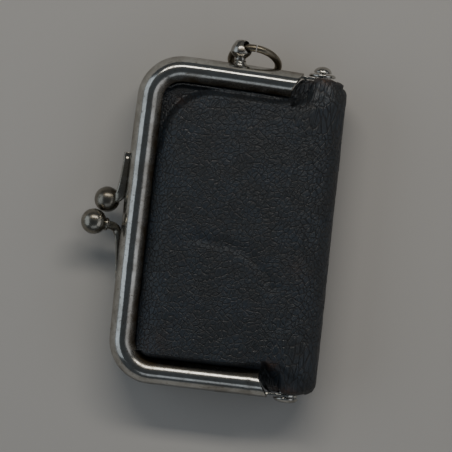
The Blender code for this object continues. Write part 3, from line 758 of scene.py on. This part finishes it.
def leather_spacing():
    """Columns and row marks that lie an even step apart on the front surface."""
    columns = np.linspace(LEATHER_EDGE, SPINE_X - FRAME_LEFT, 2000)
    middle = leather_sheet(columns, np.array([FRAME_END]), 1, 1)[:, 0]
    lengths = np.concatenate(([0.0], np.cumsum(np.linalg.norm(np.diff(middle, axis=0), axis=1))))
    even_columns = even_steps(columns, lengths, LEATHER_STEP)
    marks = np.linspace(ROW_MARKS[0], ROW_MARKS[-1], 2000)
    section = leather_sheet(np.array([-FRAME_LEFT]), marks, 1, 1)[0]
    lengths = np.concatenate(([0.0], np.cumsum(np.linalg.norm(np.diff(section, axis=0), axis=1))))
    return even_columns, even_steps(marks, lengths, LEATHER_STEP)


def leather_outer(columns, marks, side_z):
    """The whole grid of one panel, from its top end to its bottom end."""
    top = leather_sheet(columns, marks, 1, side_z)
    bottom = leather_sheet(columns, marks, -1, side_z)[:, ::-1]
    return np.concatenate((top, bottom[:, 1:]), 1)


def grid_normals(grid):
    """Unit normals of a grid of points, which face out of the purse."""
    across = np.gradient(grid, axis=0)
    along = np.gradient(grid, axis=1)
    normal = np.cross(along, across)
    length = np.linalg.norm(normal, axis=2, keepdims=True)
    return normal / np.maximum(length, 1e-9)


def running_length(points):
    steps = np.linalg.norm(np.diff(points, axis=0), axis=1)
    return np.concatenate(([0.0], np.cumsum(steps)))


def spots(table, x, y):
    """Sum of soft round spots, each with its place, reach and strength."""
    total = np.zeros(x.shape)
    for row in table:
        across = (x - row["x"]) / row["wide"]
        along = (y - row["y"]) / row["long"]
        total = total + row["strength"] * np.exp(-across * across - along * along)
    return total


def line_distance(line, x, y):
    """Signed distance from a line of points that runs along +X, above it positive."""
    place_x = np.array([point[0] for point in line])
    place_y = np.array([point[1] for point in line])
    level = curve_through(place_x, place_y, x)
    slope = (curve_through(place_x, place_y, x + 0.1) - curve_through(place_x, place_y, x - 0.1)) / 0.2
    past = np.maximum(np.maximum(place_x[0] - x, x - place_x[-1]), 0.0)
    return (y - level) / np.sqrt(1.0 + slope * slope), past


def grain_plan(u, v):
    """Places on the hide along and across its grain, in millimetres, with a little drift."""
    turn = math.radians(GRAIN_TURN)
    along = (u * math.cos(turn) + v * math.sin(turn)) / GRAIN_STRETCH
    across = v * math.cos(turn) - u * math.sin(turn)
    return along + GRAIN_DRIFT * soft_noise(u, v, 2.6, 11), across + GRAIN_DRIFT * soft_noise(u, v, 2.2, 12)


def leather_relief(u, v, x, y, front):
    """Height of the grain and folds over the smooth form, and how far each point is up a pebble."""
    along, across = grain_plan(u, v)
    nearest, second = cell_distances(along, across, GRAIN_SIZE, 3)
    pebble = smooth((second - nearest) / GRAIN_CREASE)
    small_nearest, small_second = cell_distances(along, across, 0.5 * GRAIN_SIZE, 5)
    small = smooth((small_second - small_nearest) / GRAIN_CREASE)
    amount = 1.0 + 0.35 * soft_noise(u, v, 7.0, 21)
    relief = amount * (GRAIN_DEPTH * (pebble - 0.6) + SMALL_GRAIN_DEPTH * (small - 0.6))
    relief = relief + 0.07 * soft_noise(u, v, 4.3, 31) + 0.10 * soft_noise(u, v, 10.0, 32)
    creases = soft_noise(along * GRAIN_STRETCH / 4.5, across, 0.9, 41)
    by_spine = smooth((x - 8.0) / 12.0)
    relief = relief + 0.09 * by_spine * creases
    hinge = spots(HINGE_FOLDS, x, y)
    folds = soft_noise(0.45 * u + 0.9 * v, 0.25 * v, 1.3, 51) + 0.6 * soft_noise(u, v, 0.9, 52)
    relief = relief + 0.22 * np.clip(hinge, 0.0, 1.0) * folds
    distance, past = line_distance(CREASE_LINE, x, y)
    dent = np.exp(-((distance - 1.1) / 1.5) ** 2 - (past / 2.5) ** 2)
    relief = relief - front * CREASE_DEPTH * dent
    relief = relief + front * spots(LEATHER_SWELLS, x, y)
    return relief, np.clip(0.75 * pebble + 0.25 * small, 0.0, 1.0)


def build_leather(material):
    """The bag: one grid that runs over the front, round the spine and along the back."""
    columns, marks = leather_spacing()
    seam_side = columns + FRAME_LEFT > SPINE_START_X
    kept = seam_side | (np.arange(len(columns)) % BACK_COARSER == 0)
    kept[-1] = True
    back_columns = columns[kept]
    front = leather_outer(columns, marks, 1)
    back = leather_outer(back_columns, marks, -1)[::-1]
    grid = np.concatenate((front, back[1:]), 0)
    middle = grid.shape[1] // 2
    u = np.repeat(running_length(grid[:, middle])[:, None], grid.shape[1], 1)
    v_line = running_length(grid[len(columns) // 2])
    v = np.repeat(v_line[None, :], grid.shape[0], 0)
    x = grid[:, :, 0]
    y = grid[:, :, 1]
    is_front = smooth((grid[:, :, 2] - MID_Z) / 1.5)
    relief, pebble = leather_relief(u, v, x, y, is_front)
    along, across = grain_plan(u, v)
    end_rows = np.minimum(v, v_line[-1] - v)
    fade = smooth((end_rows - 0.2) / 1.2) + (x < SPINE_START_X)
    under = smooth((u - 0.3) / 1.4) * smooth((u[-1, 0] - u - 0.3) / 1.4)
    relief = relief * np.clip(fade, 0.0, 1.0) * under
    grid = grid + grid_normals(grid) * relief[:, :, None]

    rows = grid.shape[1]
    index = np.arange(grid.shape[0] * rows).reshape(grid.shape[:2])
    corners = (index[:-1, :-1], index[:-1, 1:], index[1:, 1:], index[1:, :-1])
    faces = np.stack([corner.ravel() for corner in corners], -1)
    mesh = bpy.data.meshes.new("leather")
    mesh.from_pydata((grid.reshape(-1, 3) * MM).tolist(), [], faces.tolist())
    keep_values(mesh, "pebble", pebble.ravel())
    grain = np.stack((along, across, np.zeros(u.shape)), -1)
    attribute = mesh.attributes.new("grain", "FLOAT_VECTOR", "POINT")
    attribute.data.foreach_set("vector", grain.ravel().astype(np.float32))
    wear = spots(WORN_SPOTS, x, y) * (0.7 + 0.5 * soft_noise(u, v, 2.0, 61))
    keep_values(mesh, "wear", np.clip(wear, 0.0, 1.0).ravel())
    keep_values(mesh, "polish", np.clip(spots(POLISHED_SPOTS, x, y), 0.0, 1.0).ravel())
    build = bmesh.new()
    build.from_mesh(mesh)
    bmesh.ops.remove_doubles(build, verts=build.verts, dist=0.000002)
    build.to_mesh(mesh)
    build.free()
    leather = add_object("leather", mesh)
    finish_piece("leather", leather, "purse", material, ("leather_body",))


# Frame halves

def refined(rows, keys, line_keys, steps):
    """A table's columns, blended smoothly into many rows evenly along its line."""
    table = np.array([[row[key] for key in keys] for row in rows], float)
    lengths = running_length(table[:, :line_keys])
    at = np.linspace(0.0, lengths[-1], steps + 1)
    return np.stack([curve_through(lengths, column, at) for column in table.T], -1)


def rail_path(inset):
    """Plan of the U-shaped frame at an inset from its outer edge."""
    corner_x = FRAME_LEFT + CORNER_RADIUS
    corner_y = FRAME_END - CORNER_RADIUS
    radius = CORNER_RADIUS - inset
    end_x = RAIL_END_X - RAIL_END_SLANT * min(inset, RAIL_SLANT_INSET)
    leg_x = np.linspace(end_x, corner_x, LEG_STEPS + 1)[:-1]
    leg = np.stack((leg_x, np.full(LEG_STEPS, FRAME_END - inset)), -1)
    angle = np.radians(np.linspace(90.0, 180.0, ARC_STEPS + 1)[:-1])
    arc = np.stack((corner_x + radius * np.cos(angle), corner_y + radius * np.sin(angle)), -1)
    side_y = np.linspace(corner_y, -corner_y, SIDE_STEPS + 1)
    side = np.stack((np.full(SIDE_STEPS + 1, FRAME_LEFT + inset), side_y), -1)
    half = np.concatenate((leg, arc))
    path = np.concatenate((half, side, half[::-1] * (1.0, -1.0)))
    x, y = warp(path[:, 0], path[:, 1])
    return np.stack((x, y), -1)


def rail_mesh(side):
    """The stamped half: its section carried along the plan, slightly uneven from wear."""
    section = refined(FRAME_SECTION, ("inset", "height", "tarnish"), 2, SECTION_STEPS)
    rows = []
    for inset, height, _ in section:
        path = rail_path(inset)
        level = np.full((len(path), 1), MID_Z + side * height)
        rows.append(np.concatenate((path, level), 1))
    grid = np.array(rows)
    length = np.repeat(running_length(grid[0])[None, :], len(grid), 0)
    round_part = np.repeat(section[:, :1], grid.shape[1], 1) + section[:, 1:2]
    x = grid[:, :, 0]
    y = grid[:, :, 1]
    lift = METAL_WOBBLE * soft_noise(length, round_part, METAL_WOBBLE_SIZE, 71 + side)
    lift = lift + 0.3 * METAL_WOBBLE * soft_noise(length, round_part, 0.3 * METAL_WOBBLE_SIZE, 72)
    if side > 0:
        lift = lift - spots(FRAME_DENTS, x, y)
    grid = grid + grid_normals(grid) * side * lift[:, :, None]
    count = grid.shape[1]
    index = np.arange(grid.shape[0] * count).reshape(grid.shape[:2])
    corners = [index[:-1, :-1], index[1:, :-1], index[1:, 1:], index[:-1, 1:]]
    if side < 0:
        corners.reverse()
    faces = np.stack([corner.ravel() for corner in corners], -1)
    mesh = bpy.data.meshes.new("rail")
    mesh.from_pydata((grid.reshape(-1, 3) * MM).tolist(), [], faces.tolist())
    tarnish = np.repeat(section[:, 2:3], count, 1) + spots(TARNISHED_SPOTS, x, y)
    keep_values(mesh, "tarnish", tarnish.ravel())
    return mesh


def ear_mesh(side_y, side_z):
    """A hinge ear; the back half's ears step inward beneath the front half's."""
    stations = refined(EAR_STATIONS, ("x", "low", "high"), 2, EAR_STEPS)

    def builder(build):
        rings = []
        for x, low, high in stations:
            span = (x - EAR_STEP_START) / (EAR_STEP_END - EAR_STEP_START)
            step_in = EAR_STEP_IN * smooth(span) if side_z < 0 else 0.0
            outer = FRAME_END - EAR_SINK - step_in
            inner = outer - EAR_WALL
            corners = []
            for out, height in ((outer, low), (outer, high), (inner, high), (inner, low)):
                plan = warp(x, side_y * out)
                corners.append(place(*plan, side_z * height))
            rings.append(corners)
        loft(build, rings)

    return mesh_from("ear", builder)


def join_into(item, *others):
    """Put several objects into one mesh, in the row's frame."""
    build = bmesh.new()
    for each in (item, *others):
        shape = settle(each)
        build.from_mesh(shape.data)
        bpy.data.objects.remove(shape)
    mesh = bpy.data.meshes.new("joined")
    build.to_mesh(mesh)
    build.free()
    return add_object("joined", mesh)


def hinge_wall(side_y):
    """Outer face of the front ear at the hinge."""
    return warp(HINGE_X, side_y * (FRAME_END - EAR_SINK))[1]


def build_frame_half(name, side, material):
    rail = add_object("rail", rail_mesh(side))
    sheet = rail.modifiers.new("Sheet", "SOLIDIFY")
    sheet.thickness = METAL_WALL * MM
    sheet.offset = -1.0
    sheet.use_even_offset = True
    round_edges(rail, 0.1, 50.0)
    ears = []
    for side_y in (1, -1):
        ear = add_object("ear", ear_mesh(side_y, side))
        round_edges(ear, 0.1)
        ears.append(ear)
    half = join_into(rail, *ears)
    finish_piece(name, half, "purse", material, (name,))


# Clasp

def arm_mesh(stations, dimple):
    """A clasp arm: rounded sections along its leaf and neck, with a punched dimple."""
    rows = refined(stations, ("x", "y", "z", "wide", "deep"), 3, ARM_STEPS)

    def builder(build):
        rings = []
        for k, (x, y, z, wide, deep) in enumerate(rows):
            ahead = rows[min(k + 1, len(rows) - 1)] - rows[max(k - 1, 0)]
            sideways = Vector((-ahead[1], ahead[0])).normalized()
            ring = []
            for corner in range(ARM_SIDES):
                angle = 2.0 * math.pi * (corner + 0.5) / ARM_SIDES
                square = 1.0 / max(abs(math.cos(angle)), abs(math.sin(angle))) ** ARM_SQUARENESS
                out = wide * square * math.cos(angle)
                px = x + sideways.x * out
                py = y + sideways.y * out
                far = math.hypot(px - dimple[0], py - dimple[1]) / DIMPLE_REACH
                sink = DIMPLE_DEPTH * math.exp(-far * far) if math.sin(angle) > 0.0 else 0.0
                ring.append(place(px, py, z + deep * square * math.sin(angle) - sink))
            rings.append(ring)
        loft(build, rings)

    return mesh_from("arm", builder)


def ball_object(position):
    def builder(build):
        bmesh.ops.create_uvsphere(build, u_segments=72, v_segments=48, radius=BALL_RADIUS * MM)
        for vert in build.verts:
            at = np.array(vert.co) / MM
            lump = soft_noise(np.array([at[0] + at[2]]), np.array([at[1] - at[2]]), 1.7, 81)[0]
            vert.co *= 1.0 + BALL_LUMPS * lump

    ball = add_object("ball", mesh_from("ball", builder))
    ball.location = place(*position)
    return ball


def collar_object(radius, width, position, direction):
    """A rounded collar round a neck."""
    half = 0.5 * width
    profile = []
    for k in range(COLLAR_STEPS + 1):
        angle = math.pi * k / COLLAR_STEPS
        profile.append((radius - half + half * math.sin(angle), half * math.cos(angle)))
    profile = [(0.3, half)] + profile + [(0.3, -half)]
    collar = turned("collar", profile)
    stand_along(collar, place(*position), direction)
    return collar


def build_clasp(name, stations, ball, collar, dimple, material):
    arm = add_object("arm", arm_mesh(stations, dimple))
    round_edges(arm, 0.15, 40.0)
    direction = Vector(ball) - Vector(collar["at"])
    ring = collar_object(collar["radius"], collar["width"], collar["at"], direction)
    clasp = join_into(arm, ball_object(ball), ring)
    points = vertex_array(clasp.data) / MM
    keep_values(clasp.data, "tarnish", 0.35 + 0.25 * soft_noise(points[:, 0], points[:, 1], 1.6, 91))
    finish_piece(name, clasp, "purse", material, (name,))


# Hinges, knob and ring

def rivet_profile(shank, head):
    """Profile of a rivet: head at the top, shank, and the peened head inside."""
    return list(head) + [
        (PIN_RADIUS, 0.0),
        (PIN_RADIUS, -shank),
        (PIN_HEAD_RADIUS, -shank),
        (PIN_HEAD_RADIUS - 0.15, -shank - PIN_HEAD_THICKNESS),
        (0.0, -shank - PIN_HEAD_THICKNESS),
    ]


def finish_turned(name, item, tarnish, material):
    round_edges(item, 0.1)
    shape = settle(item)
    points = vertex_array(shape.data) / MM
    values = tarnish + 0.3 * soft_noise(points[:, 0] + points[:, 2], points[:, 1], 1.4, 95)
    keep_values(shape.data, "tarnish", values)
    finish_piece(name, shape, "purse", material, (name,))


def build_hinges(material):
    ear_depth = EAR_STEP_IN + EAR_WALL + GAP
    top_face = hinge_wall(1)
    bottom_face = hinge_wall(-1)
    washer_low = GAP
    washer_high = washer_low + WASHER_THICKNESS
    washer = turned(
        "washer",
        (
            (PIN_HOLE_RADIUS, washer_high),
            (WASHER_RADIUS - WASHER_CHAMFER, washer_high),
            (WASHER_RADIUS, washer_high - WASHER_CHAMFER),
            (WASHER_RADIUS, washer_low),
            (PIN_HOLE_RADIUS, washer_low),
            (PIN_HOLE_RADIUS, washer_high),
        ),
    )
    stand_along(washer, place(HINGE_X, top_face, 0.0), (0.0, 1.0, 0.0))
    finish_turned("hinge_washer_top", washer, 0.2, material)

    angles = [0.5 * math.pi * k / DOME_STEPS for k in range(DOME_STEPS + 1)]
    dome = [(DOME_RADIUS * math.sin(angle), DOME_HEIGHT * math.cos(angle)) for angle in angles]
    dome_base = washer_high + GAP
    top_rivet = turned("rivet", rivet_profile(dome_base + ear_depth, dome))
    stand_along(top_rivet, place(HINGE_X, top_face + dome_base, 0.0), (0.0, 1.0, 0.0))
    finish_turned("hinge_rivet_top", top_rivet, 0.3, material)

    head = [(row["radius"], row["out"]) for row in FLAT_HEAD_PROFILE]
    bottom_rivet = turned("rivet", rivet_profile(GAP + ear_depth, head))
    stand_along(bottom_rivet, place(HINGE_X, bottom_face - GAP, 0.0), (0.0, -1.0, 0.0))
    finish_turned("hinge_rivet_bottom", bottom_rivet, 0.25, material)


def ring_axes():
    """Unit vectors in the ring's plane."""
    level = Vector((math.cos(RING_TURN), math.sin(RING_TURN), 0.0))
    flat = Vector((-math.sin(RING_TURN), math.cos(RING_TURN), 0.0))
    return level, flat * math.cos(RING_TILT) + Vector((0.0, 0.0, math.sin(RING_TILT)))


def ring_point(angle):
    level, rising = ring_axes()
    return Vector(RING_CENTRE) + RING_RADIUS * (level * math.cos(angle) + rising * math.sin(angle))


def build_knob(material):
    foot = warp(KNOB_X, FRAME_END)[1] + KNOB_FOOT_OUT
    shank = KNOB_FOOT_OUT + METAL_WALL + 1.5 * GAP
    shaped = refined(KNOB_PROFILE, ("out", "radius"), 2, KNOB_STEPS)
    profile = [(radius, out) for out, radius in shaped] + [
        (KNOB_SHANK_RADIUS, 0.0),
        (KNOB_SHANK_RADIUS, -shank),
        (KNOB_INNER_HEAD_RADIUS, -shank),
        (KNOB_INNER_HEAD_RADIUS, -shank - KNOB_INNER_HEAD_THICKNESS),
        (0.0, -shank - KNOB_INNER_HEAD_THICKNESS),
    ]
    knob = turned("knob", profile)
    stand_along(knob, place(KNOB_X, foot, KNOB_Z), (0.0, 1.0, 0.0))

    eye_profile = [(0.0, EYE_REACH)]
    for k in range(EYE_STEPS + 1):
        reach = EYE_REACH * (1.0 - 2.0 * k / EYE_STEPS)
        eye_profile.append((WIRE_RADIUS + EYE_GAP + reach ** 2 / (2.0 * RING_RADIUS), reach))
    eye_profile.append((0.0, -EYE_REACH))
    eye = turned("eye", eye_profile)
    eye.hide_render = True
    level, rising = ring_axes()
    tangent = rising * math.cos(RING_EYE_ANGLE) - level * math.sin(RING_EYE_ANGLE)
    stand_along(eye, ring_point(RING_EYE_ANGLE) * MM, tangent)
    combine(knob, eye, "DIFFERENCE")
    drilled = settle(knob, (eye,))
    finish_turned("ring_knob", drilled, 0.35, material)


def build_ring(material):
    """The wire ring through the knob's eye, with its two ends almost closed."""
    half_slit = 0.5 * RING_SLIT / RING_RADIUS
    start = RING_SLIT_ANGLE + half_slit
    sweep = 2.0 * math.pi - 2.0 * half_slit
    curve = bpy.data.curves.new("ring", "CURVE")
    curve.dimensions = "3D"
    curve.bevel_depth = WIRE_RADIUS * MM
    curve.bevel_resolution = 7
    curve.use_fill_caps = True
    spline = curve.splines.new("POLY")
    spline.points.add(RING_STEPS)
    for k, point in enumerate(spline.points):
        wave = 1.0 + RING_WOBBLE * math.sin(3.0 * k / RING_STEPS * 2.0 * math.pi + 0.6)
        position = ring_point(start + sweep * k / RING_STEPS)
        position = Vector(RING_CENTRE) + (position - Vector(RING_CENTRE)) * wave
        point.co = (*(position * MM), 1.0)
    wire = bpy.data.objects.new("ring", curve)
    bpy.context.scene.collection.objects.link(wire)
    ring = settle(wire)
    points = vertex_array(ring.data) / MM
    keep_values(ring.data, "tarnish", 0.5 + 0.4 * soft_noise(points[:, 0], points[:, 1], 2.1, 97))
    finish_piece("carry_ring", ring, "ring", material, ("carry_ring",))


# Surroundings

def add_light(name, way, distance, size, power, colour):
    """A rectangular light that looks at the purse from a direction."""
    light = bpy.data.lights.new(name, "AREA")
    light.shape = "RECTANGLE"
    light.size, light.size_y = size
    light.energy = power
    light.color = colour
    lamp = bpy.data.objects.new(name, light)
    direction = Vector(way).normalized()
    lamp.location = Vector((0.0, 0.0, MID_Z * MM)) + direction * distance
    lamp.rotation_mode = "QUATERNION"
    lamp.rotation_quaternion = direction.to_track_quat("Z", "Y")
    bpy.context.scene.collection.objects.link(lamp)


def build_surroundings():
    mesh = bpy.data.meshes.new("floor")
    reach = FLOOR_REACH
    corners = [(-reach, -reach, 0.0), (reach, -reach, 0.0), (reach, reach, 0.0), (-reach, reach, 0.0)]
    mesh.from_pydata(corners, [], [(0, 1, 2, 3)])
    material = bpy.data.materials.new("floor")
    material.use_nodes = True
    shader = material.node_tree.nodes["Principled BSDF"]
    shader.inputs["Base Color"].default_value = (*FLOOR_COLOUR, 1.0)
    shader.inputs["Roughness"].default_value = 0.85
    shader.inputs["Specular IOR Level"].default_value = 0.2
    mesh.materials.append(material)
    floor = bpy.data.objects.new("floor", mesh)
    bpy.context.scene.collection.objects.link(floor)

    for row in LIGHTS:
        add_light(row["name"], row["way"], row["distance"], row["size"], row["power"], row["colour"])
    world = bpy.data.worlds.new("world")
    world.use_nodes = True
    background = world.node_tree.nodes["Background"]
    background.inputs["Color"].default_value = (*WORLD_COLOUR, 1.0)
    background.inputs["Strength"].default_value = WORLD_STRENGTH
    bpy.context.scene.world = world


def build_camera():
    data = bpy.data.cameras.new("camera")
    data.lens = LENS
    data.sensor_width = SENSOR
    data.clip_end = 10.0
    camera = bpy.data.objects.new("camera", data)
    distance = PICTURE_WIDTH * LENS / SENSOR
    camera.location = Vector(PICTURE_CENTRE) * MM + Vector((0.0, 0.0, distance * MM))
    camera.rotation_euler = (0.0, 0.0, PICTURE_TURN)
    bpy.context.scene.collection.objects.link(camera)
    bpy.context.scene.camera = camera


leather_look = leather_material()
nickel_look = metal_material("nickel_silver", (0.60, 0.60, 0.57), (0.13, 0.10, 0.065), 0.10)
clasp_look = metal_material("clasp_metal", (0.42, 0.40, 0.35), (0.10, 0.085, 0.06), 0.16)
wire_look = metal_material("ring_wire", (0.36, 0.33, 0.26), (0.12, 0.095, 0.065), 0.22)
build_leather(leather_look)
build_frame_half("front_frame", 1, nickel_look)
build_frame_half("back_frame", -1, nickel_look)
build_clasp("clasp_upper", UPPER_ARM, UPPER_BALL, UPPER_COLLAR, UPPER_DIMPLE, clasp_look)
build_clasp("clasp_lower", LOWER_ARM, LOWER_BALL, LOWER_COLLAR, LOWER_DIMPLE, clasp_look)
build_hinges(nickel_look)
build_knob(nickel_look)
build_ring(wire_look)
build_surroundings()
build_camera()
